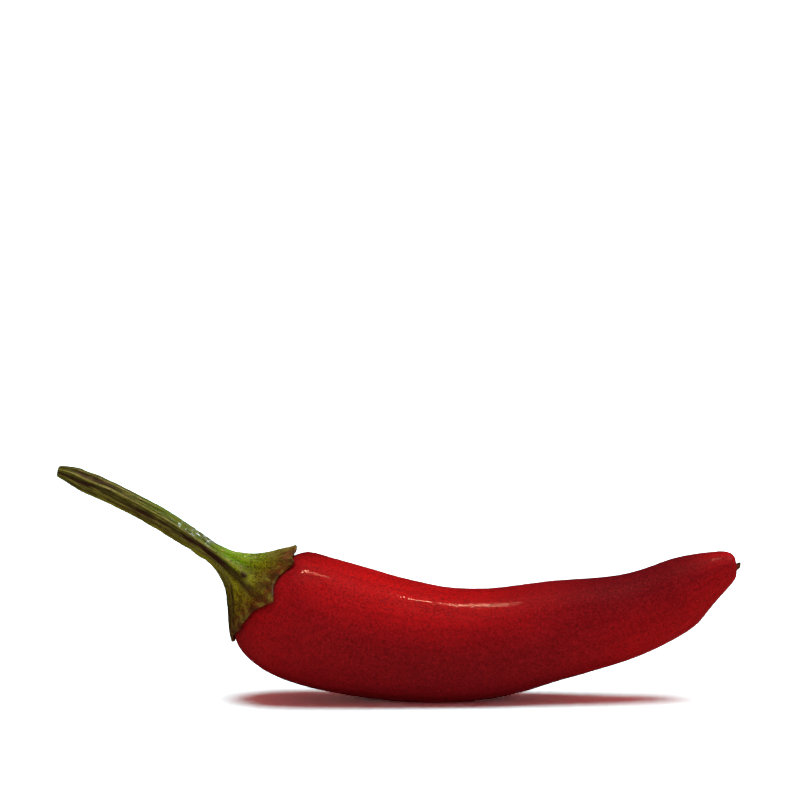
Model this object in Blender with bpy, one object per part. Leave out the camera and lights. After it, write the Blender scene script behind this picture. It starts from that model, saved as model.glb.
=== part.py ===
"""A fresh red chilli pepper that lies on its belly, in metres, +Z up.

The origin is the middle of the small flat spot that the pod rests on. +X runs along the chilli to its blossom end.
A place on the pod is how far along it lies, from the shoulder at 0 to the blossom end at 1, and an angle round it,
from the top at 0 over the front (-Y) at a quarter turn.
"""
import math

import bmesh
import bpy
import numpy as np

MM = 0.001
CLEARANCE = 0.3 * MM  # left between two pieces that grew against each other

# The pod: place along it, then the middle of the section (x, z) and its half height before the ends close, in mm
POD_STATIONS = (
    (0.00, -32.3, 20.4, 4.6),
    (0.10, -27.46, 16.55, 9.62),
    (0.155, -24.55, 14.9, 10.67),
    (0.22, -20.21, 13.26, 10.86),
    (0.35, -1.66, 9.16, 9.8),
    (0.50, 17.92, 11.05, 8.36),
    (0.65, 30.2, 13.6, 7.12),
    (0.80, 38.2, 16.65, 6.2),
    (0.92, 43.4, 19.85, 5.65),
    (0.97, 47.6, 21.85, 5.1),
    (1.00, 49.55, 22.2, 5.6),
)
# An end closes over this reach; the first power joins it to the pod, the second rounds the end itself
SHOULDER_REACH, SHOULDER_JOIN, SHOULDER_ROUND = 0.125, 2.3, 1.42
BLOSSOM_REACH, BLOSSOM_JOIN, BLOSSOM_ROUND = 0.25, 2.3, 2.35
POD_FLATNESS = 0.97  # half width over half height
LOBES, LOBE_HEIGHT = 3, 0.012  # three seed chambers press softly through the wall
LOBE_PHASE, LOBE_TWIST = 0.5, 1.3  # radians
DENTS = (  # place along the pod, angle in degrees, reach and depth in mm
    (0.14, 0, 3.0, 0.26),
    (0.185, 0, 4.5, 0.50),
    (0.30, 250, 8.0, 0.40),
    (0.47, 318, 6.5, 0.30),
    (0.62, 222, 7.0, 0.35),
    (0.72, 70, 6.0, 0.15),
    (0.83, 285, 5.0, 0.25),
    (0.36, 62, 7.0, 0.15),
)
DIMPLE_START = 0.9  # the dimple where the flower's style was lies past this place
DIMPLE_REACH, DIMPLE_DEPTH = 1.3 * MM, 0.7 * MM

# The stem: the middle of the section (x, z) and its radius between the ribs, in mm, from the cut to the calyx
STEM_STATIONS = (
    (-62.1, 37.75, 0.72),
    (-61.1, 37.50, 1.00),
    (-58.0, 36.15, 1.47),
    (-55.0, 34.85, 1.50),
    (-51.1, 32.98, 1.52),
    (-47.2, 30.90, 1.54),
    (-43.2, 28.50, 1.52),
    (-40.3, 26.57, 1.44),
    (-37.3, 24.55, 1.40),
)
CUT_DOME = 0.25 * MM
RIBS = (  # angle on the stem and at the rim in degrees, height, length of its tooth in mm
    (-12, -5, 1.0, 1.4),
    (27, 35, 0.8, 2.2),
    (68, 82, 1.0, 3.0),
    (112, 136, 0.4, 0.5),
    (160, 187, 1.0, 1.5),
    (216, 240, 0.9, 1.8),
    (288, 292, 1.0, 1.7),
)
RIB_HEIGHT = 0.26 * MM
STEM_RIB_SPREAD, CALYX_RIB_SPREAD = 15, 8  # degrees
TOOTH_SPREAD = 11.5  # degrees
TOOTH_POINT = 1.3  # 1 would be a sharp tip, 2 a round one
RIM_SHARE = 0.075  # how far along the pod the calyx reaches between its teeth
EDGE_THICKNESS = 0.85 * MM
EDGE_ROUND = 0.35  # how far the middle of the edge bulges, in thicknesses
TOOTH_CURL = 0.40 * MM  # how far a tooth's tip stands off the pod
RIM_LIFT = 0.22  # how much steeper than the pod's skin the flare runs into the rim
NECK_PULL, RIM_PULL = 6.0 * MM, 4.2 * MM  # how long the flare keeps the stem's and the rim's directions
FLARE_FULLNESS = 0.5 * MM  # swells the flare towards the rim, so that its wall stays thick there

# The dry remnant of the style: a short stub with one torn sliver
REMNANT_RADIUS, REMNANT_LENGTH = 0.66 * MM, 0.8 * MM
REMNANT_BLUNTNESS, REMNANT_TAPER, REMNANT_RIPPLE = 0.6, 0.35, 0.18
SLIVER_ANGLE, SLIVER_SPREAD, SLIVER_REACH = 5, 34, 0.75 * MM

POD_SIDES, POD_RINGS = 54, 46
CALYX_SIDES = 56
CUT_SHARES = (0.0, 0.55, 0.92, 1.0)
STEM_RINGS, FLARE_RINGS, UNDERSIDE_RINGS = 20, 14, 8
STEM_CROWDING, UNDERSIDE_CROWDING = 1.2, 1.4  # rings lie closer together at the cut and at the pole
REMNANT_SIDES, REMNANT_RINGS = 14, 10
TAU = math.tau
SLOPE_STEP = 1e-4


def smooth_line(stations, where):
    """Reads the natural cubic spline through the stations, whose first column is the place along it."""
    knots, values = stations[:, 0], stations[:, 1:]
    gaps = np.diff(knots)
    slopes = np.diff(values, axis=0) / gaps[:, None]
    system = np.diag(2 * (gaps[:-1] + gaps[1:])) + np.diag(gaps[1:-1], 1) + np.diag(gaps[1:-1], -1)
    bends = np.zeros_like(values)
    bends[1:-1] = np.linalg.solve(system, 6 * np.diff(slopes, axis=0))
    where = np.asarray(where, dtype=float)
    span = np.clip(np.searchsorted(knots, where, side="right") - 1, 0, len(gaps) - 1)
    gap = gaps[span][..., None]
    behind = (where - knots[span])[..., None]
    ahead = (knots[span + 1] - where)[..., None]
    return ((bends[span] * ahead**3 + bends[span + 1] * behind**3) / (6 * gap)
            + (values[span] / gap - bends[span] * gap / 6) * ahead
            + (values[span + 1] / gap - bends[span + 1] * gap / 6) * behind)


def unit(vectors):
    return vectors / np.linalg.norm(vectors, axis=-1, keepdims=True)


def section_frame(stations, where):
    """The middle of a section, the direction along the line, the upward normal and the section's size."""
    where = np.asarray(where, dtype=float)
    read = smooth_line(stations, where)
    slope = smooth_line(stations, where + SLOPE_STEP) - smooth_line(stations, where - SLOPE_STEP)
    flat = np.zeros(read.shape[:-1])
    middle = np.stack([read[..., 0], flat, read[..., 1]], axis=-1)
    along = unit(np.stack([slope[..., 0], flat, slope[..., 1]], axis=-1))
    upward = np.stack([-along[..., 2], flat, along[..., 0]], axis=-1)
    return middle, along, upward, read[..., 2]


def pod_section(share):
    return section_frame(np.array(POD_STATIONS) * np.array([1, MM, MM, MM]), share)


def round_section(upward, angle, flatness=1.0):
    """Unit directions round a section: up at 0, towards -Y at a quarter turn."""
    return upward * np.cos(angle)[..., None] - np.array([0, flatness, 0]) * np.sin(angle)[..., None]


def end_cap(distance, reach, join, rounding):
    """Closes an end: 0 at the end itself, 1 from reach onwards."""
    inside = np.clip(1 - distance / reach, 0, 1)
    return (1 - inside**join) ** (1 / rounding)


def pod_surface(share, angle):
    share, angle = np.broadcast_arrays(np.asarray(share, dtype=float), np.asarray(angle, dtype=float))
    middle, along, upward, half_height = pod_section(share)
    outward = round_section(upward, angle, POD_FLATNESS)
    radius = half_height * end_cap(share, SHOULDER_REACH, SHOULDER_JOIN, SHOULDER_ROUND)
    radius = radius * end_cap(1 - share, BLOSSOM_REACH, BLOSSOM_JOIN, BLOSSOM_ROUND)
    radius = radius * (1 + LOBE_HEIGHT * np.cos(LOBES * angle + LOBE_PHASE + LOBE_TWIST * share))
    points = middle + outward * radius[..., None]
    for place, turn, reach, depth in DENTS:
        centre, _, lift, size = pod_section(place)
        centre = centre + round_section(lift, np.array(math.radians(turn)), POD_FLATNESS) * size
        distance = np.linalg.norm(points - centre, axis=-1)
        points = points - outward * (depth * MM * np.exp(-((distance / (reach * MM)) ** 2)))[..., None]
    dimple = np.where(share > DIMPLE_START, np.exp(-((radius / DIMPLE_REACH) ** 2)), 0)
    points = points - along * (DIMPLE_DEPTH * dimple)[..., None]
    points[..., 2] = np.maximum(points[..., 2], 0)
    return points


def pod_slope(share, angle):
    """How the surface runs along the pod, per unit of place."""
    return (pod_surface(share + SLOPE_STEP, angle) - pod_surface(share - SLOPE_STEP, angle)) / (2 * SLOPE_STEP)


def pod_normal(share, angle):
    around = pod_surface(share, angle + SLOPE_STEP) - pod_surface(share, angle - SLOPE_STEP)
    return unit(np.cross(around, pod_slope(share, angle)))


def turn_between(angle, target):
    """The signed angle from target to angle, within half a turn."""
    return (angle - target + math.pi) % TAU - math.pi


def ribs(angle, spread, at_rim):
    """The height of the ribs round the stem (at_rim 0) or the calyx (at_rim 1)."""
    height = 0
    for stem_turn, rim_turn, strength, _ in RIBS:
        turn = math.radians(stem_turn + (rim_turn - stem_turn) * at_rim)
        height = height + strength * np.exp(-((turn_between(angle, turn) / math.radians(spread)) ** 2))
    return height * RIB_HEIGHT


def teeth(angle):
    """How far the rim's teeth reach past it: pointed, with hollow curves between them."""
    length = 0
    for _, rim_turn, _, tooth in RIBS:
        away = np.abs(turn_between(angle, math.radians(rim_turn))) / math.radians(TOOTH_SPREAD)
        length = length + tooth * MM * np.exp(-(away**TOOTH_POINT))
    return length


def stem_ring(stations, place, angle):
    middle, _, upward, radius = section_frame(stations, np.full_like(angle, place))
    return middle + round_section(upward, angle) * (radius + ribs(angle, STEM_RIB_SPREAD, 0))[..., None]


def calyx_stem_rings():
    """Rings from the middle of the cut end, along the stem and over the flare to the rim, and back under it."""
    angle = np.arange(CALYX_SIDES) * TAU / CALYX_SIDES
    sections = np.array(STEM_STATIONS) * MM
    places = np.concatenate([[0], np.cumsum(np.linalg.norm(np.diff(sections[:, :2], axis=0), axis=1))])
    stations = np.column_stack([places, sections])
    last = places[-1]

    first = stem_ring(stations, 0, angle)
    centre, along, _, _ = section_frame(stations, 0)
    rings = [centre + (first - centre) * share - along * CUT_DOME * (1 - share**2) for share in CUT_SHARES]
    for i in range(1, STEM_RINGS + 1):
        rings.append(stem_ring(stations, last * (i / STEM_RINGS) ** STEM_CROWDING, angle))

    neck = rings[-1]
    _, neck_along, _, _ = section_frame(stations, last)
    rim = RIM_SHARE + teeth(angle) / np.linalg.norm(pod_slope(RIM_SHARE, angle), axis=-1)
    normal = pod_normal(rim, angle)
    forward = unit(pod_slope(rim, angle))
    arrival = unit(forward + RIM_LIFT * normal)
    curl = TOOTH_CURL * teeth(angle) / teeth(angle).max()
    under_edge = pod_surface(rim, angle) + normal * CLEARANCE
    outer_edge = under_edge + normal * (EDGE_THICKNESS + curl)[..., None]
    for i in range(1, FLARE_RINGS + 1):
        t = i / FLARE_RINGS
        point = ((1 - t) ** 3 * neck + 3 * (1 - t) ** 2 * t * (neck + neck_along * NECK_PULL)
                 + 3 * (1 - t) * t**2 * (outer_edge - arrival * RIM_PULL) + t**3 * outer_edge)
        spread = STEM_RIB_SPREAD + (CALYX_RIB_SPREAD - STEM_RIB_SPREAD) * t
        # Both swellings fade out at the neck and at the rim: the ribs' is 1 halfway, the fullness 1 at two thirds
        swell = ribs(angle, spread, t * t * (3 - 2 * t)) * 4 * t * (1 - t)
        swell = swell + FLARE_FULLNESS * t * t * (1 - t) * 27 / 4
        away = unit(point - point.mean(axis=0))
        rings.append(point + away * swell[..., None])
    rings.append((outer_edge + under_edge) / 2 + forward * EDGE_THICKNESS * EDGE_ROUND)
    rings.append(under_edge)
    for i in range(1, UNDERSIDE_RINGS):
        share = rim * (1 - i / UNDERSIDE_RINGS) ** UNDERSIDE_CROWDING
        rings.append(pod_surface(share, angle) + pod_normal(share, angle) * CLEARANCE)
    base, base_along, _, _ = pod_section(0)
    rings.append(np.broadcast_to(base - base_along * CLEARANCE, neck.shape))
    return np.array(rings)


def pod_rings():
    share = (1 - np.cos(np.linspace(0, math.pi, POD_RINGS + 1))) / 2
    angle = np.arange(POD_SIDES) * TAU / POD_SIDES
    return pod_surface(share[:, None], angle[None, :])


def remnant_rings():
    """A stub that stands on the floor of the dimple, along the pod's axis."""
    end, along, upward, _ = pod_section(1)
    foot = end + along * (CLEARANCE - DIMPLE_DEPTH)
    angle = np.arange(REMNANT_SIDES) * TAU / REMNANT_SIDES
    sliver = np.exp(-((turn_between(angle, math.radians(SLIVER_ANGLE)) / math.radians(SLIVER_SPREAD)) ** 2))
    rings = []
    for i in range(REMNANT_RINGS + 1):
        turn = math.pi * i / REMNANT_RINGS
        height = (1 - math.cos(turn)) / 2
        radius = REMNANT_RADIUS * math.sin(turn) ** REMNANT_BLUNTNESS * (1 - REMNANT_TAPER * height)
        reach = radius * (1 + REMNANT_RIPPLE * np.cos(3 * angle + 1)) + SLIVER_REACH * sliver * height * math.sin(turn)
        rings.append(foot + along * REMNANT_LENGTH * height + round_section(upward, angle) * reach[..., None])
    return np.array(rings)


def lofted(name, rings, material, collection):
    """A closed body: a sphere whose rings of vertices are moved onto rings of points."""
    steps, sides = rings.shape[0] - 1, rings.shape[1]
    body = bmesh.new()
    bmesh.ops.create_uvsphere(body, u_segments=sides, v_segments=steps, radius=1)
    for vertex in body.verts:
        ring = round(math.acos(min(1, max(-1, vertex.co.z))) / math.pi * steps)
        side = round(math.atan2(-vertex.co.y, vertex.co.x) / TAU * sides) % sides
        vertex.co = rings[ring][side]
    bmesh.ops.triangulate(body, faces=body.faces)
    bmesh.ops.recalc_face_normals(body, faces=body.faces)
    mesh = bpy.data.meshes.new(name)
    body.to_mesh(mesh)
    body.free()
    mesh.shade_smooth()
    mesh.materials.append(material)
    collection.objects.link(bpy.data.objects.new(name, mesh))


def finish(name, colour, roughness):
    material = bpy.data.materials.new(name)
    material.use_nodes = True
    shader = material.node_tree.nodes["Principled BSDF"]
    shader.inputs["Base Color"].default_value = (*colour, 1)
    shader.inputs["Roughness"].default_value = roughness
    shader.inputs["Metallic"].default_value = 0
    return material


def main():
    for thing in list(bpy.data.objects):
        bpy.data.objects.remove(thing)
    collection = bpy.data.collections.new("chilli_pepper")
    bpy.context.scene.collection.children.link(collection)
    skin = finish("red_skin", (0.30, 0.008, 0.009), 0.25)
    green = finish("green_calyx", (0.10, 0.095, 0.012), 0.55)
    dry = finish("dry_style", (0.10, 0.035, 0.012), 0.8)
    lofted("pod", pod_rings(), skin, collection)
    lofted("calyx_stem", calyx_stem_rings(), green, collection)
    lofted("style_remnant", remnant_rings(), dry, collection)


main()
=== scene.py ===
"""Looks of a fresh red chilli pepper that lies on its belly, in metres, +Z up.

+X runs along the chilli to its blossom end, and the camera looks along +Y at the side that faces -Y. A place
on the pod is how far along it lies, from the shoulder at 0 to the blossom end at 1, and an angle round it,
from the top at 0 over the front at a quarter turn. A place on the stalk is 0 at the edge of the cut, 1 at the
neck, 2 at the rim and 3 at the middle of the underside. The dimensions are those of the solids that the
pieces stand for.
"""
import math

import bmesh
import bpy
import numpy as np
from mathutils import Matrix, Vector


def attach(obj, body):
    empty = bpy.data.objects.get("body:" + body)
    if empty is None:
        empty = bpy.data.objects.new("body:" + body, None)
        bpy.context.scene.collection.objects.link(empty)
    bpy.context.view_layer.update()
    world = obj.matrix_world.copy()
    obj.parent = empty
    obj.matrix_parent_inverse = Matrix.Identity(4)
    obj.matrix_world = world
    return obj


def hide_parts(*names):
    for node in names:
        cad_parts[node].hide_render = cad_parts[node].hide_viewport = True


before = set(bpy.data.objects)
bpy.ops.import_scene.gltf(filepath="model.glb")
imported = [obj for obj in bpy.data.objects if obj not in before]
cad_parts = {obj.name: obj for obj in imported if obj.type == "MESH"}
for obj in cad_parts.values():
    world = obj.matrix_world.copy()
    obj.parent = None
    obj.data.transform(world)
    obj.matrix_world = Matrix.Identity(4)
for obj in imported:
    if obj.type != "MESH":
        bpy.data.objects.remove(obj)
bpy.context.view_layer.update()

MM = 0.001
TAU = math.tau
SLOPE_STEP = 1e-4  # slopes are measured over this step, in places along the pod or in radians round it

# The pod: place along it, then the middle of the section (x, z) and its half height before the ends close,
# in mm
POD_STATIONS = (
    (0.00, -32.3, 20.4, 4.6),
    (0.10, -27.46, 16.55, 9.62),
    (0.155, -24.55, 14.9, 10.67),
    (0.22, -20.21, 13.26, 10.86),
    (0.35, -1.66, 9.16, 9.8),
    (0.50, 17.92, 11.05, 8.36),
    (0.65, 30.2, 13.6, 7.12),
    (0.80, 38.2, 16.65, 6.2),
    (0.92, 43.4, 19.85, 5.65),
    (0.97, 47.6, 21.85, 5.1),
    (1.00, 49.55, 22.2, 5.6),
)
# An end closes over this reach; the first power joins it to the pod, the second rounds the end itself
SHOULDER_REACH, SHOULDER_JOIN, SHOULDER_ROUND = 0.125, 2.3, 1.42
BLOSSOM_REACH, BLOSSOM_JOIN, BLOSSOM_ROUND = 0.25, 2.3, 2.35
POD_FLATNESS = 0.97  # its width across the view, of its height
LOBES, LOBE_HEIGHT = 3, 0.012
LOBE_PHASE, LOBE_TWIST = 0.5, 1.3  # radians
DENTS = (  # place along the pod, angle in degrees, reach and depth in mm
    (0.14, 0, 3.0, 0.26),
    (0.185, 0, 4.5, 0.50),
    (0.30, 250, 8.0, 0.40),
    (0.47, 318, 6.5, 0.30),
    (0.62, 222, 7.0, 0.35),
    (0.72, 70, 6.0, 0.15),
    (0.83, 285, 5.0, 0.25),
    (0.36, 62, 7.0, 0.15),
)
DIMPLE_START = 0.9
DIMPLE_REACH, DIMPLE_DEPTH = 1.3 * MM, 0.7 * MM

# The stem: the middle of the section (x, z) and its radius between the ribs, in mm, from the cut to the calyx
STEM_STATIONS = (
    (-62.1, 37.75, 0.72),
    (-61.1, 37.50, 1.00),
    (-58.0, 36.15, 1.47),
    (-55.0, 34.85, 1.50),
    (-51.1, 32.98, 1.52),
    (-47.2, 30.90, 1.54),
    (-43.2, 28.50, 1.52),
    (-40.3, 26.57, 1.44),
    (-37.3, 24.55, 1.40),
)
CUT_DOME = 0.25 * MM
# A rib: its angle on the stem and at the rim in degrees, its height, and the length of its tooth and how far
# the tooth's tip curls off the pod, in mm
RIBS = (
    (-12, -5, 1.0, 1.4, 1.0),
    (27, 35, 0.8, 2.2, 0.35),
    (68, 82, 1.0, 3.0, 0.25),
    (112, 136, 0.4, 0.5, 0.1),
    (160, 187, 1.0, 1.5, 0.3),
    (216, 240, 0.9, 1.8, 0.4),
    (288, 292, 1.0, 1.7, 0.6),
)
LONGEST_TOOTH = max(tooth for _, _, _, tooth, _ in RIBS)
RIB_HEIGHT = 0.26 * MM
STEM_RIB_SPREAD, CALYX_RIB_SPREAD = 15, 8  # degrees
TOOTH_SPREAD, TOOTH_POINT = 11.5, 1.3  # degrees, and 1 would be a sharp tip, 2 a round one
RIM_SHARE = 0.075  # how far along the pod the calyx reaches between its teeth
RIM_WAVES = ((19, 0.0625, 1), (43, 0.0375, 2))  # waves round the rim, their height in mm and phase in radians
HUG = 0.04 * MM  # the grown calyx lies this close on the pod
CURL_FADE = 6  # the higher, the nearer to its tip a tooth starts to curl
RIM_THICKNESS = 0.62 * MM
RIM_BULGE = 0.35  # how far the rim's edge rounds out, of its thickness
RIM_LIFT = 0.22  # how steeply the flare comes down on the pod
NECK_PULL, RIM_PULL = 6.0 * MM, 4.2 * MM  # how long the flare keeps the neck's and the rim's directions
FLARE_FULLNESS = 0.5 * MM

# The scrap in the dimple: thin, with a lump on its lower side and a spike that stands up from its upper side
SCRAP_RADIUS, SCRAP_LENGTH = 0.66 * MM, 1.1 * MM
SCRAP_BLUNTNESS, SCRAP_TAPER = 0.6, 0.35
SCRAP_RIPPLES, SCRAP_RIPPLE = 3, 0.18
SCRAP_THIN, LUMP_SIZE = 0.42, 1.1  # of the radius
LUMP_ANGLE, LUMP_SPREAD = 180, 50  # degrees
LUMP_SHORTER = 0.1  # how much less far the lump reaches out of the dimple
SPIKE_ANGLE, SPIKE_SPREAD, SPIKE_REACH = 5, 16, 0.8 * MM
SPIKE_RISE = 1.5  # the higher, the nearer to the scrap's end the spike stands

# Relief that only the looks have: each row is a wave's length and height in mm
SKIN_WAVES = ((18, 0.07), (7, 0.018), (2.2, 0.004), (0.9, 0.003))
STALK_WAVES = ((3.0, 0.030), (1.1, 0.014), (0.6, 0.007))
SCRAP_WAVES = ((0.7, 0.050), (0.3, 0.020))
WAVES_A_ROW = 14
WAVE_FADE = 5 * MM  # the skin's waves grow over this reach from the calyx
FLAT_FADE = 0.5 * MM  # and the relief over this height above the flat spot
PUCKERS, PUCKER_HEIGHT, PUCKER_REACH = 23, 0.03 * MM, 1.2 * MM
PUCKER_SWAYS, PUCKER_SWAY = 3, 2  # the puckers crowd together this often, and by this much
# A low crest that the glint runs on: its ends along the pod, its angles there and its spread in degrees
CREST_START, CREST_END, CREST_ANGLES, CREST_SPREAD = 0.08, 0.58, (46, 24), 8
CREST_HEIGHT = 0.07 * MM
FURROWS = ((17, 0.030), (29, 0.022), (47, 0.010))  # furrows round the stalk and their height in mm
FURROW_SWAY, FURROW_TWIST = 1.5, 0.7  # how they crowd together, and how they wind along the stalk
FURROW_FADES = (0, 0.03, 1.94, 2)  # places on the stalk where the relief starts, is full, wanes and ends

# The pod's finish, with light and shade painted into the skin's colour. Sides of the pod, as radians from
# the top or the bottom towards the front
UPPER_TILT, FLANK_TILT, LOWER_TILT = 0.3, 0.8, 0.5
# A painted patch of light or shade, as named: its place along the pod, its reach and its strength
# Painted highlights: a lighter red along the top of the shoulder half and on top of the blossom end
UPPER_PAINTED_HIGHLIGHTS = ((0.30, 0.23, 1.0), (0.97, 0.06, 0.9))
# Painted light: a lighter red all round the shoulder
SHOULDER_PAINTED_LIGHT = (0.0, 0.20, 0.45)
# Painted shade: a darker red on the upper front towards the blossom end, weaker round the other sides
FLANK_PAINTED_SHADE = (0.80, 0.10, 0.7)
# Painted shade: a darker red low on the front of the belly, where it nears the floor
LOWER_PAINTED_SHADE = (0.38, 0.13, 0.75)
FLANK_EVEN = 0.4  # how much of the flank's painted shade goes all round
# Painted light that runs on from its start to the blossom end, and painted shade that starts, is full,
# wanes and ends
# Painted light: the lower side is a lighter red towards the blossom end, as if lit from below
LOWER_PAINTED_LIGHT_START, LOWER_PAINTED_LIGHT_FULL, LOWER_PAINTED_LIGHT = 0.50, 0.65, 0.65
# Painted shade: a darker red on top of the half towards the blossom end, weaker round the other sides
BACK_PAINTED_SHADE = (0.42, 0.62, 0.92, 1.0)
BACK_EVEN = 0.3  # how much of the back's painted shade goes all round
SHADED_REACH = 0.6 * MM  # painted shadow: the skin is a darker red this close to the calyx's rim
# Where the wax is thick enough for a clear glint: from and to, in mm along X
THICK_WAX = ((-26.2, -18.0), (-6.4, -1.2), (0.8, 12.8), (45.2, 46.4))
WAX_EDGE = 0.3 * MM
# The fibres are drawn on a pod this much shorter and this thick, which stretches them
POD_FIBRE_RUN, POD_FIBRE_RADIUS = 0.12, 10 * MM

# The stalk's finish. A streak: its angle on the stem and at the rim, and its spread on the stem and at the
# rim, all in degrees
GROOVE, GROOVE_FADE = (95, 88, 24, 2.6), 0.35  # dark brown, and weaker by this much at the rim
# Brown streaks, the last of them painted shade, each with its strength and the places where it starts and is
# full
EVERYWHERE = (-2, -1)
BROWN_STREAKS = (
    ((46, 30, 15, 2), 0.7, 0.75, 0.45),
    ((188, 160, 15, 4), 0.9, *EVERYWHERE),
    ((252, 262, 16, 3), 0.9, *EVERYWHERE),
    ((325, 322, 14, 3), 0.8, *EVERYWHERE),
    ((112, 143, 5, 1.6), 0.9, 1.1, 1.4),
    # Painted shade: a dark band low on the stem's underside, where it is shaded
    ((137, 137, 11, 3), 0.6, 0.95, 0.75),
)
# The ribs are pale down to the flare, and so is a streak beside the groove from there on
PALE_RIB_SPREADS, PALE_RIBS_END, PALE_RIBS_FULL = (4, 2.2), 1.5, 1.2
PALE_STREAK, PALE_STRENGTH, PALE_START, PALE_FULL = (122, 151, 4, 1.8), 0.8, 0.8, 1.1
# A patch: its strength, place and reach, and its angle and spread in degrees
KNOT = (1.6, 1.44, 0.05, 78, 7)  # a dark scar
FRESH_NECK = (1.3, 1.24, 0.26, 8, 62)
ROSY_FLAP = (1.0, 1.92, 0.06, 16, 12)
# A stretch: its strength, where it starts, is full, wanes and ends, and its angle and spread in degrees
FRESH_BACK = (0.65, 0.35, 0.65, 0.3, 1.3, 20, 45)
RIPE_STRETCHES = ((1.8, 1.2, 1.5, 1.8, 2.0, 112, 30), (0.8, 0.1, 0.3, 1.0, 2.0, 145, 26))
# Bands all round: where each starts, is full, wanes and ends
RIPE_BAND = (1.15, 1.45, 1.6, 1.9)
DRY_BANDS = ((1.55, 1.95, 2.03, 2.05), (1.955, 1.985, 2.03, 2.05))
DRY_TIPS = (1.85, 2.0)
STEM_SPECKLE, SPECKLE_FULL = 0.85, 1.4  # the stem is less speckled than the calyx
CUT_FULL = -1 / 3  # the cut's colour grows from its edge to here, where -1 is its middle
# The stem's fibres are drawn on a stem this long and this thick, and the flare is this much shorter than it
STALK_FIBRE_RUN, FLARE_RUN, STALK_FIBRE_RADIUS = 3 * MM, 0.35, 1.6 * MM

POD_SIDES, POD_RINGS = 250, 310
CALYX_SIDES, STEM_RINGS, FLARE_RINGS, EDGE_RINGS, UNDERSIDE_RINGS = 320, 130, 90, 6, 10
CUT_RINGS = 10
EDGE_PLACES = 0.05  # the edge's share of the places between the rim and the underside's middle
STEM_CROWDING, UNDERSIDE_CROWDING = 1.2, 1.4
SCRAP_SIDES, SCRAP_RINGS = 64, 40

# How many times brighter than a white board the camera sees it. The tints of the light are evened out in it,
# so that the lit board is plain white and only the shadow on it is coloured
BOARD_GLARE = (2.3, 3.0, 3.2)
BOARD_REACH, BOARD_GAP = 6, 0.02 * MM
BACKDROP_GLARE = 1.2
DOME_LIGHT = (0.17, 0.03, 0.028)  # dim and red: it colours what the suns don't reach, such as the shadow
# A sun: its name, where it shines from, its width in degrees, its strength and its tint
SUNS = (
    ("ceiling", (0.1, -0.04, 1.0), 50, 2.05, (0.9, 1, 0.95)),
    ("front", (0.3, -0.9, 0.02), 6, 1.12, (0.96, 0.9, 0.8)),
)
# A lamp for a glint: its name and place, its size along X and Y in metres, its strength and its tint
GLINT_LAMPS = (
    ("strip", (0.095, 0, 0.6), 0.23, 0.012, 0.8, (1, 0.52, 0.34)),
    ("window", (0.38, 0.03, 0.53), 0.07, 0.34, 2.6, (0.78, 0.9, 1)),
)
CAMERA_PLACE, CAMERA_TILT = (-0.006105, -0.363786, 0.067424), 2.8242  # metres, and degrees below level
LENS, SENSOR = 100, 36  # mm

# Inputs and output of a Mix node that mixes colours, by number, because its names repeat
FACTOR, COLOUR_A, COLOUR_B, COLOUR_OUT = 0, 6, 7, 2


def smooth_line(stations, where):
    """Reads the natural cubic spline through the stations, whose first column is the place along it."""
    knots, values = stations[:, 0], stations[:, 1:]
    gaps = np.diff(knots)
    slopes = np.diff(values, axis=0) / gaps[:, None]
    system = np.diag(2 * (gaps[:-1] + gaps[1:])) + np.diag(gaps[1:-1], 1) + np.diag(gaps[1:-1], -1)
    bends = np.zeros_like(values)
    bends[1:-1] = np.linalg.solve(system, 6 * np.diff(slopes, axis=0))
    where = np.asarray(where, dtype=float)
    span = np.clip(np.searchsorted(knots, where, side="right") - 1, 0, len(gaps) - 1)
    gap = gaps[span][..., None]
    behind = (where - knots[span])[..., None]
    ahead = (knots[span + 1] - where)[..., None]
    return ((bends[span] * ahead**3 + bends[span + 1] * behind**3) / (6 * gap)
            + (values[span] / gap - bends[span] * gap / 6) * ahead
            + (values[span + 1] / gap - bends[span + 1] * gap / 6) * behind)


def unit(vectors):
    return vectors / np.linalg.norm(vectors, axis=-1, keepdims=True)


def ramp(value, start, full):
    """0 up to the start and 1 from full on, whichever of the two is the lower."""
    return np.clip((value - start) / (full - start), 0, 1)


def band(value, start, full, waning, end):
    """Rises from the start to full and falls from waning to the end."""
    return ramp(value, start, full) * ramp(value, end, waning)


def eased(share):
    """Makes an even rise from 0 to 1 start and end gently."""
    return share * share * (3 - 2 * share)


def hump(value, centre, reach):
    """1 at the centre, fading over the reach on both sides."""
    return np.exp(-(((value - centre) / reach) ** 2))


def turn_between(angle, target):
    """The signed angle from target to angle, within half a turn."""
    return (angle - target + math.pi) % TAU - math.pi


def bell(angle, centre, spread):
    """1 at the centre angle, fading within the spread, all but the first in degrees."""
    return np.exp(-((turn_between(angle, math.radians(centre)) / math.radians(spread)) ** 2))


def section_frame(stations, where):
    """The middle of a section, the direction along the line, the upward normal and the section's size."""
    where = np.asarray(where, dtype=float)
    read = smooth_line(stations, where)
    slope = smooth_line(stations, where + SLOPE_STEP) - smooth_line(stations, where - SLOPE_STEP)
    flat = np.zeros(read.shape[:-1])
    middle = np.stack([read[..., 0], flat, read[..., 1]], axis=-1)
    along = unit(np.stack([slope[..., 0], flat, slope[..., 1]], axis=-1))
    upward = np.stack([-along[..., 2], flat, along[..., 0]], axis=-1)
    return middle, along, upward, read[..., 2]


def pod_section(share):
    return section_frame(np.array(POD_STATIONS) * np.array([1, MM, MM, MM]), share)


def round_section(upward, angle, flatness=1.0):
    """Unit directions round a section: up at 0, towards -Y at a quarter turn."""
    return upward * np.cos(angle)[..., None] - np.array([0, flatness, 0]) * np.sin(angle)[..., None]


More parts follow.
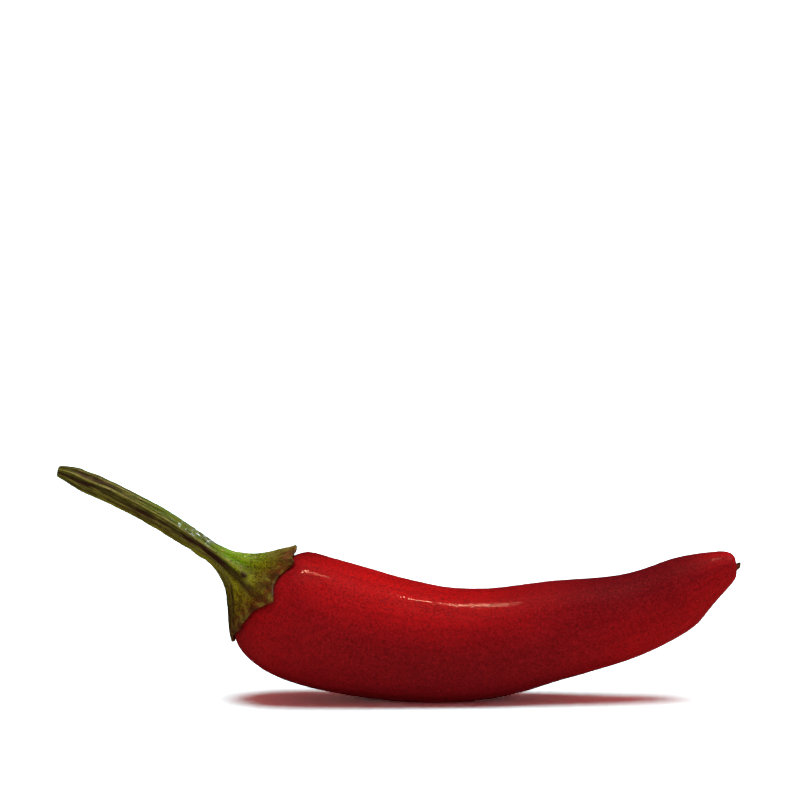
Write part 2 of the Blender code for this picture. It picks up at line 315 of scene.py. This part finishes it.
def end_cap(distance, reach, join, rounding):
    """Closes an end: 0 at the end itself, 1 from reach onwards."""
    inside = np.clip(1 - distance / reach, 0, 1)
    return (1 - inside**join) ** (1 / rounding)


def waves(points, rows, seed):
    """A smooth random relief: waves of each length cross each other in random directions."""
    draw = np.random.default_rng(seed)
    height = np.zeros(points.shape[:-1])
    for length, size in rows:
        ways = unit(draw.normal(size=(WAVES_A_ROW, 3))) * TAU / (length * MM)
        for way, phase in zip(ways, draw.uniform(0, TAU, WAVES_A_ROW)):
            height = height + np.sin(points @ way + phase) * size * MM / math.sqrt(WAVES_A_ROW / 2)
    return height


def fibre_space(run, angle, radius):
    """Where a point lies on a straight, short body. A noise read there is drawn out along the real one."""
    return np.stack([run, np.cos(angle) * radius, np.sin(angle) * radius], axis=-1)


def pod_surface(share, angle):
    """The plain form of the pod."""
    share, angle = np.broadcast_arrays(np.asarray(share, dtype=float), np.asarray(angle, dtype=float))
    middle, along, upward, half_height = pod_section(share)
    outward = round_section(upward, angle, POD_FLATNESS)
    radius = half_height * end_cap(share, SHOULDER_REACH, SHOULDER_JOIN, SHOULDER_ROUND)
    radius = radius * end_cap(1 - share, BLOSSOM_REACH, BLOSSOM_JOIN, BLOSSOM_ROUND)
    radius = radius * (1 + LOBE_HEIGHT * np.cos(LOBES * angle + LOBE_PHASE + LOBE_TWIST * share))
    points = middle + outward * radius[..., None]
    for place, turn, reach, depth in DENTS:
        centre, _, lift, size = pod_section(place)
        centre = centre + round_section(lift, np.array(math.radians(turn)), POD_FLATNESS) * size
        distance = np.linalg.norm(points - centre, axis=-1)
        points = points - outward * (depth * MM * np.exp(-((distance / (reach * MM)) ** 2)))[..., None]
    dimple = np.where(share > DIMPLE_START, np.exp(-((radius / DIMPLE_REACH) ** 2)), 0)
    points = points - along * (DIMPLE_DEPTH * dimple)[..., None]
    points[..., 2] = np.maximum(points[..., 2], 0)
    return points


def pod_slope(share, angle):
    """How the surface runs along the pod, per unit of place."""
    ahead, behind = pod_surface(share + SLOPE_STEP, angle), pod_surface(share - SLOPE_STEP, angle)
    return (ahead - behind) / (2 * SLOPE_STEP)


def pod_normal(share, angle):
    around = pod_surface(share, angle + SLOPE_STEP) - pod_surface(share, angle - SLOPE_STEP)
    return unit(np.cross(around, pod_slope(share, angle)))


def ribs(angle, spread, at_rim):
    """The height of the ribs round the stem (at_rim 0) or the calyx (at_rim 1)."""
    height = 0
    for stem_turn, rim_turn, strength, _, _ in RIBS:
        height = height + strength * bell(angle, stem_turn + (rim_turn - stem_turn) * at_rim, spread)
    return height * RIB_HEIGHT


def tooth_kernel(angle, rim_turn):
    away = np.abs(turn_between(angle, math.radians(rim_turn))) / math.radians(TOOTH_SPREAD)
    return np.exp(-(away**TOOTH_POINT))


def teeth(angle):
    """How far the rim's teeth reach past it: pointed, with hollow curves between them."""
    return sum(tooth * MM * tooth_kernel(angle, rim_turn) for _, rim_turn, _, tooth, _ in RIBS)


def tooth_curl(angle):
    """How far a tooth's tip stands off the pod."""
    return sum(curl * MM * tooth_kernel(angle, rim_turn) ** 2 for _, rim_turn, _, _, curl in RIBS)


def rim_share(angle):
    """Where the calyx ends on the pod, with the small waves of a torn and dried edge."""
    wave = sum(np.sin(count * angle + phase) * height * MM for count, height, phase in RIM_WAVES)
    return RIM_SHARE + (teeth(angle) + wave) / np.linalg.norm(pod_slope(RIM_SHARE, angle), axis=-1)


def skin_relief(points, share, angle, from_rim):
    """The skin's waves, its puckers beside the calyx and the crest. The waves keep clear of the calyx, and
    all of it keeps clear of the flat spot."""
    fade = eased(np.clip(from_rim / WAVE_FADE, 0, 1))
    swayed = PUCKERS * angle + PUCKER_SWAY * np.sin(PUCKER_SWAYS * angle)
    pucker = np.sin(swayed) * PUCKER_HEIGHT * np.exp(-((from_rim / PUCKER_REACH) ** 2))
    relief = waves(points, SKIN_WAVES, seed=3) * fade
    relief = relief + np.where(from_rim > 0, pucker, 0) - PUCKER_HEIGHT * (1 - fade)
    on_crest = ramp(share, CREST_START, CREST_END)
    crest_turn = np.radians(CREST_ANGLES[0] + (CREST_ANGLES[1] - CREST_ANGLES[0]) * on_crest)
    crest = hump(turn_between(angle, crest_turn), 0, math.radians(CREST_SPREAD))
    relief = relief + CREST_HEIGHT * crest * np.sin(on_crest * math.pi) ** 2
    return relief * np.clip(points[..., 2] / FLAT_FADE, 0, 1)


def skin_finish(points, share, angle, from_rim):
    """Where light and shade are painted into the skin's red, and where its wax is thick."""
    upper = np.clip(np.cos(angle - UPPER_TILT), 0, 1) ** 2
    flank = FLANK_EVEN + (1 - FLANK_EVEN) * np.cos(angle - FLANK_TILT)
    lower = np.clip(-np.cos(angle + LOWER_TILT), 0, 1)

    def tint(place, reach, strength):
        return strength * hump(share, place, reach)

    # Painted light: a lighter top, a lighter lower side towards the blossom end, and a lighter shoulder
    painted_light = sum(tint(*row) for row in UPPER_PAINTED_HIGHLIGHTS) * upper
    painted_light = np.maximum(painted_light, LOWER_PAINTED_LIGHT * ramp(share, LOWER_PAINTED_LIGHT_START, LOWER_PAINTED_LIGHT_FULL) * lower)
    painted_light = np.maximum(painted_light, tint(*SHOULDER_PAINTED_LIGHT))
    # Painted shade: darker on top towards the blossom end, on the flank and belly, and a shadow beside the
    # calyx
    back = BACK_EVEN + (1 - BACK_EVEN) * np.clip(np.cos(angle), 0, 1)
    painted_shade = band(share, *BACK_PAINTED_SHADE) * back
    painted_shade = np.maximum(painted_shade, tint(*FLANK_PAINTED_SHADE) * flank)
    painted_shade = np.maximum(painted_shade, tint(*LOWER_PAINTED_SHADE) * lower)
    painted_shade = np.maximum(painted_shade, hump(from_rim, 0, SHADED_REACH))

    def beyond(distance):
        return 1 / (1 + np.exp(-distance / WAX_EDGE))

    x = points[..., 0]
    wax = sum(beyond(x - start * MM) * beyond(end * MM - x) for start, end in THICK_WAX)
    return {"painted_light": painted_light, "painted_shade": painted_shade, "wax": wax}


def dressed_pod():
    """The pod's rings with the small relief of its skin, and what its finish needs to know at each point."""
    share = (1 - np.cos(np.linspace(0, math.pi, POD_RINGS + 1))) / 2
    angle = np.arange(POD_SIDES) * TAU / POD_SIDES
    share, angle = np.meshgrid(share, angle, indexing="ij")
    points = pod_surface(share, angle)
    inner = np.clip(share, 2 * SLOPE_STEP, 1 - 2 * SLOPE_STEP)
    normal = pod_normal(inner, angle)
    normal[[0, -1]] = normal[[0, -1]].mean(axis=1, keepdims=True)
    from_rim = (share - rim_share(angle)) * np.linalg.norm(pod_slope(RIM_SHARE, angle), axis=-1)
    points = points + normal * skin_relief(points, share, angle, from_rim)[..., None]
    points[..., 2] = np.maximum(points[..., 2], 0)
    facts = skin_finish(points, share, angle, from_rim)
    length = np.cumsum(np.linalg.norm(np.diff(pod_section(share[:, 0])[0], axis=0), axis=1))
    length = np.concatenate([[0], length])[:, None] + 0 * angle
    facts["fibres"] = fibre_space(length * POD_FIBRE_RUN, angle, POD_FIBRE_RADIUS)
    return points, facts


def stem_ring(stations, place, angle):
    middle, _, upward, radius = section_frame(stations, np.full_like(angle, place))
    return middle + round_section(upward, angle) * (radius + ribs(angle, STEM_RIB_SPREAD, 0))[..., None]


def dressed_stalk():
    """The calyx and stem: rings from the cut end over the flare to the rim and back under it, with the small
    relief of their skin, and what their finish needs to know at each point."""
    angle = np.arange(CALYX_SIDES) * TAU / CALYX_SIDES
    sections = np.array(STEM_STATIONS) * MM
    places = np.concatenate([[0], np.cumsum(np.linalg.norm(np.diff(sections[:, :2], axis=0), axis=1))])
    stations = np.column_stack([places, sections])
    last = places[-1]
    rings, along = [], []  # along is the place on the stalk, and runs from -1 to 0 over the cut face

    first = stem_ring(stations, 0, angle)
    centre, cut_along, _, _ = section_frame(stations, 0)
    for i in range(CUT_RINGS + 1):
        share = math.sin(math.pi / 2 * i / CUT_RINGS)
        rings.append(centre + (first - centre) * share - cut_along * CUT_DOME * (1 - share**4))
        along.append(share - 1)
    for i in range(1, STEM_RINGS + 1):
        place = (i / STEM_RINGS) ** STEM_CROWDING
        rings.append(stem_ring(stations, last * place, angle))
        along.append(place)

    neck = rings[-1]
    _, neck_along, _, _ = section_frame(stations, last)
    rim = rim_share(angle)
    normal = pod_normal(rim, angle)
    forward = unit(pod_slope(rim, angle))
    arrival = unit(forward + RIM_LIFT * normal)
    under_edge = pod_surface(rim, angle) + normal * (HUG + tooth_curl(angle))[..., None]
    outer_edge = under_edge + normal * RIM_THICKNESS
    for i in range(1, FLARE_RINGS + 1):
        t = i / FLARE_RINGS
        point = ((1 - t) ** 3 * neck + 3 * (1 - t) ** 2 * t * (neck + neck_along * NECK_PULL)
                 + 3 * (1 - t) * t**2 * (outer_edge - arrival * RIM_PULL) + t**3 * outer_edge)
        spread = STEM_RIB_SPREAD + (CALYX_RIB_SPREAD - STEM_RIB_SPREAD) * t
        # The ribs are highest halfway down the flare, and the flare is fullest at two thirds of it
        swell = ribs(angle, spread, eased(t)) * 4 * t * (1 - t)
        swell = swell + FLARE_FULLNESS * t * t * (1 - t) * 27 / 4
        rings.append(point + unit(point - point.mean(axis=0)) * swell[..., None])
        along.append(1 + t)
    middle = (outer_edge + under_edge) / 2
    for i in range(1, EDGE_RINGS + 1):
        turn = math.pi * i / EDGE_RINGS
        bulge = forward * RIM_THICKNESS * RIM_BULGE * math.sin(turn)
        rings.append(middle + (outer_edge - middle) * math.cos(turn) + bulge)
        along.append(2 + EDGE_PLACES * i / EDGE_RINGS)
    for i in range(1, UNDERSIDE_RINGS):
        share = rim * (1 - i / UNDERSIDE_RINGS) ** UNDERSIDE_CROWDING
        lift = HUG + tooth_curl(angle) * (1 - i / UNDERSIDE_RINGS) ** CURL_FADE
        rings.append(pod_surface(share, angle) + pod_normal(share, angle) * lift[..., None])
        along.append(2 + i / UNDERSIDE_RINGS)
    base, base_along, _, _ = pod_section(0)
    rings.append(np.broadcast_to(base - base_along * HUG, neck.shape))
    along.append(3)

    points = np.array(rings)
    along = np.broadcast_to(np.array(along)[:, None], points.shape[:2])
    angle = np.broadcast_to(angle, points.shape[:2])
    hub = points.mean(axis=1, keepdims=True)
    outward = unit(points - hub + 1e-9)  # the offset keeps the two end points from having no direction
    sway = FURROW_SWAY * np.sin(2 * angle)
    furrow = sum(np.cos(count * angle + sway + FURROW_TWIST * count * along) * height * MM
                 for count, height in FURROWS)
    relief = (furrow + waves(points, STALK_WAVES, seed=11)) * band(along, *FURROW_FADES)
    return points + outward * relief[..., None], stalk_finish(along, angle)


def stalk_finish(along, angle):
    """Where the stalk is brown, with a band of painted shade low on the stem, pale, fresh green, ripening,
    dry, rosy or cut, and how speckled it is.
    """
    flare = np.clip(along - 1, 0, 1)
    bend = eased(flare)

    def streak(stem_turn, rim_turn, stem_spread, rim_spread):
        centre = np.radians(stem_turn + (rim_turn - stem_turn) * bend)
        spread = np.radians(stem_spread + (rim_spread - stem_spread) * np.sqrt(flare))
        return np.exp(-(np.abs(turn_between(angle, centre)) / spread) ** 3)

    def patch(strength, place, reach, centre, spread):
        return strength * hump(along, place, reach) * bell(angle, centre, spread)

    def stretch(strength, start, full, waning, end, centre, spread):
        return strength * band(along, start, full, waning, end) * bell(angle, centre, spread)

    brown_and_painted_shade = np.maximum(streak(*GROOVE) * (1 - GROOVE_FADE * flare), patch(*KNOT))
    # One of these streaks, low on the stem's underside, is painted shade
    for shape, strength, start, full in BROWN_STREAKS:
        brown_and_painted_shade = np.maximum(brown_and_painted_shade, strength * streak(*shape) * ramp(along, start, full))
    pale = sum(strength * streak(stem_turn, rim_turn, *PALE_RIB_SPREADS)
               for stem_turn, rim_turn, strength, _, _ in RIBS)
    pale = pale * ramp(along, PALE_RIBS_END, PALE_RIBS_FULL)
    pale = np.maximum(pale, PALE_STRENGTH * streak(*PALE_STREAK) * ramp(along, PALE_START, PALE_FULL))
    fresh = np.maximum(patch(*FRESH_NECK), stretch(*FRESH_BACK))
    ripe = band(along, *RIPE_BAND)
    for row in RIPE_STRETCHES:
        ripe = np.maximum(ripe, stretch(*row))
    tip = sum(tooth_kernel(angle, rim_turn) * tooth / LONGEST_TOOTH for _, rim_turn, _, tooth, _ in RIBS)
    dry = ramp(along, *DRY_TIPS) * np.clip(tip, 0, 1)
    for row in DRY_BANDS:
        dry = np.maximum(dry, band(along, *row))
    speckled = STEM_SPECKLE + (1 - STEM_SPECKLE) * ramp(along, 1, SPECKLE_FULL)
    run = np.where(along < 1, along, 1 + (along - 1) * FLARE_RUN) * STALK_FIBRE_RUN
    return {"ripe": ripe, "fresh": fresh, "brown_and_painted_shade": brown_and_painted_shade, "pale": pale, "dry": dry,
            "cut": ramp(along, 0, CUT_FULL), "rosy": patch(*ROSY_FLAP), "speckled": speckled,
            "fibres": fibre_space(run, angle, STALK_FIBRE_RADIUS)}


def dressed_scrap():
    """The dry scrap: it stands on the floor of the dimple, along the pod's axis."""
    end, along, upward, _ = pod_section(1)
    foot = end - along * DIMPLE_DEPTH
    angle = np.arange(SCRAP_SIDES) * TAU / SCRAP_SIDES
    lump = bell(angle, LUMP_ANGLE, LUMP_SPREAD)
    ripple = 1 + SCRAP_RIPPLE * np.cos(SCRAP_RIPPLES * angle + 1)
    rings = []
    for i in range(SCRAP_RINGS + 1):
        turn = math.pi * i / SCRAP_RINGS
        height = (1 - math.cos(turn)) / 2
        radius = SCRAP_RADIUS * math.sin(turn) ** SCRAP_BLUNTNESS * (1 - SCRAP_TAPER * height)
        radius = radius * (SCRAP_THIN + LUMP_SIZE * lump)
        spike = SPIKE_REACH * bell(angle, SPIKE_ANGLE, SPIKE_SPREAD) * height**SPIKE_RISE * math.sin(turn)
        reach = radius * ripple + spike
        lift = SCRAP_LENGTH * height * (1 - LUMP_SHORTER * lump)
        rings.append(foot + along * lift[..., None] + round_section(upward, angle) * reach[..., None])
    points = np.array(rings)
    outward = unit(points - points.mean(axis=(0, 1)))
    return points + outward * waves(points, SCRAP_WAVES, seed=5)[..., None], {}


def lofted(name, rings, facts, material):
    """A closed body: a sphere whose rings of vertices are moved onto rings of points and carry their facts."""
    steps, sides = rings.shape[0] - 1, rings.shape[1]
    body = bmesh.new()
    bmesh.ops.create_uvsphere(body, u_segments=sides, v_segments=steps, radius=1)
    body.verts.ensure_lookup_table()
    place = np.array([vertex.co for vertex in body.verts])
    ring = np.rint(np.arccos(np.clip(place[:, 2], -1, 1)) / math.pi * steps).astype(int)
    side = np.rint(np.arctan2(-place[:, 1], place[:, 0]) / TAU * sides).astype(int) % sides
    for vertex, spot in zip(body.verts, rings[ring, side]):
        vertex.co = spot
    bmesh.ops.recalc_face_normals(body, faces=body.faces)
    mesh = bpy.data.meshes.new(name)
    body.to_mesh(mesh)
    body.free()
    for fact, values in facts.items():
        values = values[ring, side].astype(np.float32)
        if values.ndim == 1:
            mesh.attributes.new(fact, "FLOAT", "POINT").data.foreach_set("value", values)
        else:
            mesh.attributes.new(fact, "FLOAT_VECTOR", "POINT").data.foreach_set("vector", values.ravel())
    mesh.shade_smooth()
    mesh.materials.append(material)
    piece = bpy.data.objects.new(name, mesh)
    bpy.context.scene.collection.objects.link(piece)
    return piece


def linear(code):
    """An sRGB hex colour as linear values with an alpha of 1."""
    parts = [int(code[i:i + 2], 16) / 255 for i in (1, 3, 5)]
    return (*[part / 12.92 if part <= 0.04045 else ((part + 0.055) / 1.055) ** 2.4 for part in parts], 1)


def per_mm(size):
    """The scale of a noise whose features are this many mm across."""
    return 1 / (size * MM)


def add(tree, kind, inputs=(), **settings):
    """Adds a node; an input is given a value, or is linked to another node's output."""
    node = tree.nodes.new(kind)
    for key, value in settings.items():
        setattr(node, key, value)
    for key, value in dict(inputs).items():
        if isinstance(value, bpy.types.NodeSocket):
            tree.links.new(value, node.inputs[key])
        else:
            node.inputs[key].default_value = value
    return node


def layered(tree, colour, layers):
    """Lays colours over a colour. A layer is what drives it, from and to which value, how strong it gets, and
    its colour."""
    for driver, low, high, strength, code in layers:
        amount = add(tree, "ShaderNodeMapRange", {"Value": driver, "From Min": low, "From Max": high,
                                                  "To Max": strength}).outputs[0]
        colour = add(tree, "ShaderNodeMix", {FACTOR: amount, COLOUR_A: colour, COLOUR_B: linear(code)},
                     data_type="RGBA").outputs[COLOUR_OUT]
    return colour


def new_material(name):
    material = bpy.data.materials.new(name)
    material.use_nodes = True
    tree = material.node_tree
    shader = tree.nodes["Principled BSDF"]
    return material, tree, shader


def waxed_skin():
    """Ripe chilli skin: a smooth wax over red flesh. It looks a dark red, slightly translucent and finely
    grained, with a lighter top and darker places that are painted light and shade. The wax is thick in
    places only, and there it shows a narrow glint that its unevenness breaks."""
    material, tree, shader = new_material("ripe_waxed_skin")
    spot = add(tree, "ShaderNodeTexCoord").outputs["Object"]
    fibres = add(tree, "ShaderNodeAttribute", attribute_name="fibres").outputs["Vector"]
    painted_light = add(tree, "ShaderNodeAttribute", attribute_name="painted_light").outputs["Fac"]
    painted_shade = add(tree, "ShaderNodeAttribute", attribute_name="painted_shade").outputs["Fac"]
    wax = add(tree, "ShaderNodeAttribute", attribute_name="wax").outputs["Fac"]
    clouds = add(tree, "ShaderNodeTexNoise",
                 {"Vector": spot, "Scale": per_mm(9), "Detail": 4.0}).outputs["Fac"]
    threads = add(tree, "ShaderNodeTexNoise",
                  {"Vector": fibres, "Scale": per_mm(1.1), "Detail": 3.0}).outputs["Fac"]
    # Skin cells are about 0.05 mm across, too fine to show, so the grain and flecks are six times coarser
    grain = add(tree, "ShaderNodeTexNoise",
                {"Vector": spot, "Scale": per_mm(0.34), "Detail": 2.0, "Roughness": 0.6}).outputs["Fac"]
    flecks = add(tree, "ShaderNodeTexNoise",
                 {"Vector": spot, "Scale": per_mm(0.29), "Detail": 1.0}).outputs["Fac"]

    colour = layered(tree, linear("#8f151d"), (
        (clouds, 0.35, 0.65, 0.4, "#a81c22"),
        # Painted light: a lighter red where the skin is to look lit
        (painted_light, 0.0, 1.0, 1.0, "#de1819"),
        # Painted shade: a darker red where the skin is to look shaded
        (painted_shade, 0.0, 1.0, 0.7, "#620f18"),
        (threads, 0.42, 0.7, 0.3, "#6f0a10"),
        (grain, 0.44, 0.64, 0.6, "#540e13"),
        (flecks, 0.5, 0.66, 0.3, "#c8282c"),
    ))
    rough = add(tree, "ShaderNodeMapRange",
                {"Value": grain, "From Min": 0.3, "From Max": 0.7, "To Min": 0.34, "To Max": 0.5}).outputs[0]
    bump = add(tree, "ShaderNodeBump", {"Height": grain, "Distance": 0.02 * MM, "Strength": 1.0})
    bump = add(tree, "ShaderNodeBump", {"Height": threads, "Distance": 0.03 * MM, "Strength": 1.0,
                                        "Normal": bump.outputs["Normal"]})
    beads = add(tree, "ShaderNodeMapRange",
                {"Value": flecks, "From Min": 0.44, "From Max": 0.6, "To Min": 0.05}).outputs[0]
    coat = add(tree, "ShaderNodeMath", {0: wax, 1: beads}, operation="MULTIPLY").outputs[0]
    shine = add(tree, "ShaderNodeBump", {"Height": flecks, "Distance": 0.014 * MM, "Strength": 1.0})
    tree.links.new(colour, shader.inputs["Base Color"])
    tree.links.new(rough, shader.inputs["Roughness"])
    tree.links.new(bump.outputs["Normal"], shader.inputs["Normal"])
    tree.links.new(coat, shader.inputs["Coat Weight"])
    tree.links.new(shine.outputs["Normal"], shader.inputs["Coat Normal"])
    shader.inputs["IOR"].default_value = 1.42
    shader.inputs["Specular IOR Level"].default_value = 0.03
    shader.inputs["Subsurface Weight"].default_value = 0.12
    shader.inputs["Subsurface Radius"].default_value = (1.0, 0.15, 0.1)
    shader.inputs["Subsurface Scale"].default_value = 1.5 * MM
    shader.inputs["Coat Roughness"].default_value = 0.06
    return material


def green_stalk():
    """The calyx and stem: living green plant skin, ribbed along its length. It looks satin, and is browned
    and dried in streaks, at the edge of the calyx and at the cut. A dark band low on the stem is painted
    shade."""
    material, tree, shader = new_material("green_stalk")
    spot = add(tree, "ShaderNodeTexCoord").outputs["Object"]
    fibres = add(tree, "ShaderNodeAttribute", attribute_name="fibres").outputs["Vector"]
    speckled = add(tree, "ShaderNodeAttribute", attribute_name="speckled").outputs["Fac"]
    dry = add(tree, "ShaderNodeAttribute", attribute_name="dry").outputs["Fac"]
    # Single fibres are about 0.05 mm thick and the pores finer, too fine to show, so they are drawn coarser
    threads = add(tree, "ShaderNodeTexNoise",
                  {"Vector": fibres, "Scale": per_mm(0.3), "Detail": 3.0}).outputs["Fac"]
    strands = add(tree, "ShaderNodeTexNoise",
                  {"Vector": fibres, "Scale": per_mm(0.9), "Detail": 2.0}).outputs["Fac"]
    patches = add(tree, "ShaderNodeTexNoise",
                  {"Vector": spot, "Scale": per_mm(0.6), "Detail": 4.0}).outputs["Fac"]
    grain = add(tree, "ShaderNodeTexNoise",
                {"Vector": spot, "Scale": per_mm(0.3), "Detail": 2.0}).outputs["Fac"]

    colour = linear("#5e681a")
    stains = (  # the attribute, its colour and strength, and what breaks it up
        ("ripe", "#98940e", 0.9, threads),
        ("fresh", "#86c40a", 1.0, strands),
        # brown, and in one band low on the stem painted shade
        ("brown_and_painted_shade", "#351d19", 1.0, strands),
        ("pale", "#b4ae5c", 0.75, threads),
        ("dry", "#7a3a1a", 0.95, patches),
        ("cut", "#7f7a4a", 0.8, threads),
        ("rosy", "#b4664a", 0.7, patches),
    )
    for fact, code, strength, breaks in stains:
        amount = add(tree, "ShaderNodeAttribute", attribute_name=fact).outputs["Fac"]
        broken = add(tree, "ShaderNodeMapRange", {"Value": breaks, "From Min": 0.38, "From Max": 0.58,
                                                  "To Min": 0.4, "To Max": 1.2}).outputs[0]
        amount = add(tree, "ShaderNodeMath", {0: amount, 1: broken}, operation="MULTIPLY").outputs[0]
        amount = add(tree, "ShaderNodeMath", {0: amount, 1: strength},
                     operation="MULTIPLY", use_clamp=True).outputs[0]
        colour = add(tree, "ShaderNodeMix", {FACTOR: amount, COLOUR_A: colour, COLOUR_B: linear(code)},
                     data_type="RGBA").outputs[COLOUR_OUT]
    specks = add(tree, "ShaderNodeMath", {0: grain, 1: speckled}, operation="MULTIPLY").outputs[0]
    colour = layered(tree, colour, (
        (strands, 0.5, 0.64, 0.4, "#402614"),
        (threads, 0.5, 0.62, 0.55, "#34220c"),
        (specks, 0.47, 0.6, 0.75, "#3a220c"),
        (threads, 0.46, 0.34, 0.4, "#aaa83e"),
    ))
    rough = add(tree, "ShaderNodeMapRange", {"Value": grain, "To Min": 0.38, "To Max": 0.62}).outputs[0]
    bump = add(tree, "ShaderNodeBump", {"Height": threads, "Distance": 0.1 * MM, "Strength": 1.0})
    bump = add(tree, "ShaderNodeBump", {"Height": grain, "Distance": 0.03 * MM, "Strength": 1.0,
                                        "Normal": bump.outputs["Normal"]})
    # What is dry has lost its gloss
    coat = add(tree, "ShaderNodeMapRange", {"Value": dry, "To Min": 0.6, "To Max": 0.05}).outputs[0]
    shine = add(tree, "ShaderNodeBump", {"Height": threads, "Distance": 0.03 * MM, "Strength": 1.0})
    tree.links.new(colour, shader.inputs["Base Color"])
    tree.links.new(rough, shader.inputs["Roughness"])
    tree.links.new(bump.outputs["Normal"], shader.inputs["Normal"])
    tree.links.new(coat, shader.inputs["Coat Weight"])
    tree.links.new(shine.outputs["Normal"], shader.inputs["Coat Normal"])
    shader.inputs["IOR"].default_value = 1.42
    shader.inputs["Specular IOR Level"].default_value = 0.2
    shader.inputs["Coat Roughness"].default_value = 0.12
    return material


def dry_scrap():
    """The dried scrap of the flower's style: papery brown plant matter, matt and rough."""
    material, tree, shader = new_material("dry_style")
    spot = add(tree, "ShaderNodeTexCoord").outputs["Object"]
    grain = add(tree, "ShaderNodeTexNoise",
                {"Vector": spot, "Scale": per_mm(0.3), "Detail": 4.0}).outputs["Fac"]
    shades = {FACTOR: grain, COLOUR_A: linear("#3c140b"), COLOUR_B: linear("#783c1a")}
    colour = add(tree, "ShaderNodeMix", shades, data_type="RGBA").outputs[COLOUR_OUT]
    bump = add(tree, "ShaderNodeBump", {"Height": grain, "Distance": 0.08 * MM, "Strength": 1.0})
    tree.links.new(colour, shader.inputs["Base Color"])
    tree.links.new(bump.outputs["Normal"], shader.inputs["Normal"])
    shader.inputs["Roughness"].default_value = 0.85
    return material


def dress(name, made, material, node):
    rings, facts = made
    piece = lofted(name, rings, facts, material)
    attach(piece, "root")
    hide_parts(node)


def white_floor():
    """A plain white board, shown to the camera as bright as an overexposed one. It takes the shadow and
    lights the belly, and leaves no haze on the gloss."""
    body = bmesh.new()
    bmesh.ops.create_grid(body, x_segments=1, y_segments=1, size=BOARD_REACH)
    mesh = bpy.data.meshes.new("floor")
    body.to_mesh(mesh)
    body.free()
    material, tree, shader = new_material("white_board")
    tree.nodes.remove(shader)
    seen = add(tree, "ShaderNodeLightPath").outputs["Is Camera Ray"]
    bright = add(tree, "ShaderNodeBsdfDiffuse", {"Color": (*BOARD_GLARE, 1)}).outputs[0]
    plain = add(tree, "ShaderNodeBsdfDiffuse", {"Color": linear("#d8d8d8")}).outputs[0]
    board = add(tree, "ShaderNodeMixShader", {0: seen, 1: plain, 2: bright}).outputs[0]
    tree.links.new(board, tree.nodes["Material Output"].inputs["Surface"])
    mesh.materials.append(material)
    floor = bpy.data.objects.new("floor", mesh)
    floor.location = (0, 0, -BOARD_GAP)
    floor.visible_glossy = False
    bpy.context.scene.collection.objects.link(floor)


def white_room():
    """White behind the chilli, and a dim red light from all round it that leaves no haze on its gloss."""
    world = bpy.data.worlds.new("white_room")
    bpy.context.scene.world = world
    world.use_nodes = True
    tree = world.node_tree
    dome = add(tree, "ShaderNodeBackground", {"Color": (*DOME_LIGHT, 1)}).outputs[0]
    plain = add(tree, "ShaderNodeBackground",
                {"Color": linear("#ffffff"), "Strength": BACKDROP_GLARE}).outputs[0]
    seen = add(tree, "ShaderNodeLightPath").outputs["Is Camera Ray"]
    both = add(tree, "ShaderNodeMixShader", {0: seen, 1: dome, 2: plain}).outputs[0]
    tree.links.new(both, tree.nodes["World Output"].inputs["Surface"])
    world.cycles_visibility.glossy = False


def lamp(name, kind, place, target, strength, **settings):
    light = bpy.data.lights.new(name, kind)
    light.energy = strength
    for key, value in settings.items():
        setattr(light, key, value)
    holder = bpy.data.objects.new(name, light)
    holder.location = place
    holder.rotation_euler = (Vector(target) - Vector(place)).to_track_quat("-Z", "Y").to_euler()
    bpy.context.scene.collection.objects.link(holder)
    return holder


def studio():
    """A wide light from above, and one from the front, so low that it lights the chilli and not the board.
    Gloss doesn't show these two. It shows a narrow warm strip above the pod and a bluish window to its right,
    which light nothing else."""
    for name, place, width, strength, tint in SUNS:
        sun = lamp(name, "SUN", place, (0, 0, 0), strength, angle=math.radians(width), color=tint)
        sun.visible_glossy = False
    for name, place, width, depth, strength, tint in GLINT_LAMPS:
        glint = lamp(name, "AREA", place, (place[0], place[1], 0), strength, shape="RECTANGLE",
                     size=width, size_y=depth, color=tint)
        glint.visible_diffuse = False


def camera():
    """The photograph's view: a little above the chilli, looking almost level along +Y."""
    lens = bpy.data.cameras.new("camera")
    lens.lens, lens.sensor_width = LENS, SENSOR
    holder = bpy.data.objects.new("camera", lens)
    holder.location = CAMERA_PLACE
    holder.rotation_euler = (math.radians(90 - CAMERA_TILT), 0, 0)
    bpy.context.scene.collection.objects.link(holder)
    bpy.context.scene.camera = holder


camera()
white_room()
white_floor()
studio()
dress("chilli_pod", dressed_pod(), waxed_skin(), "pod")
dress("chilli_stalk", dressed_stalk(), green_stalk(), "calyx_stem")
dress("chilli_style", dressed_scrap(), dry_scrap(), "style_remnant")
bpy.context.scene.view_settings.view_transform = "Standard"
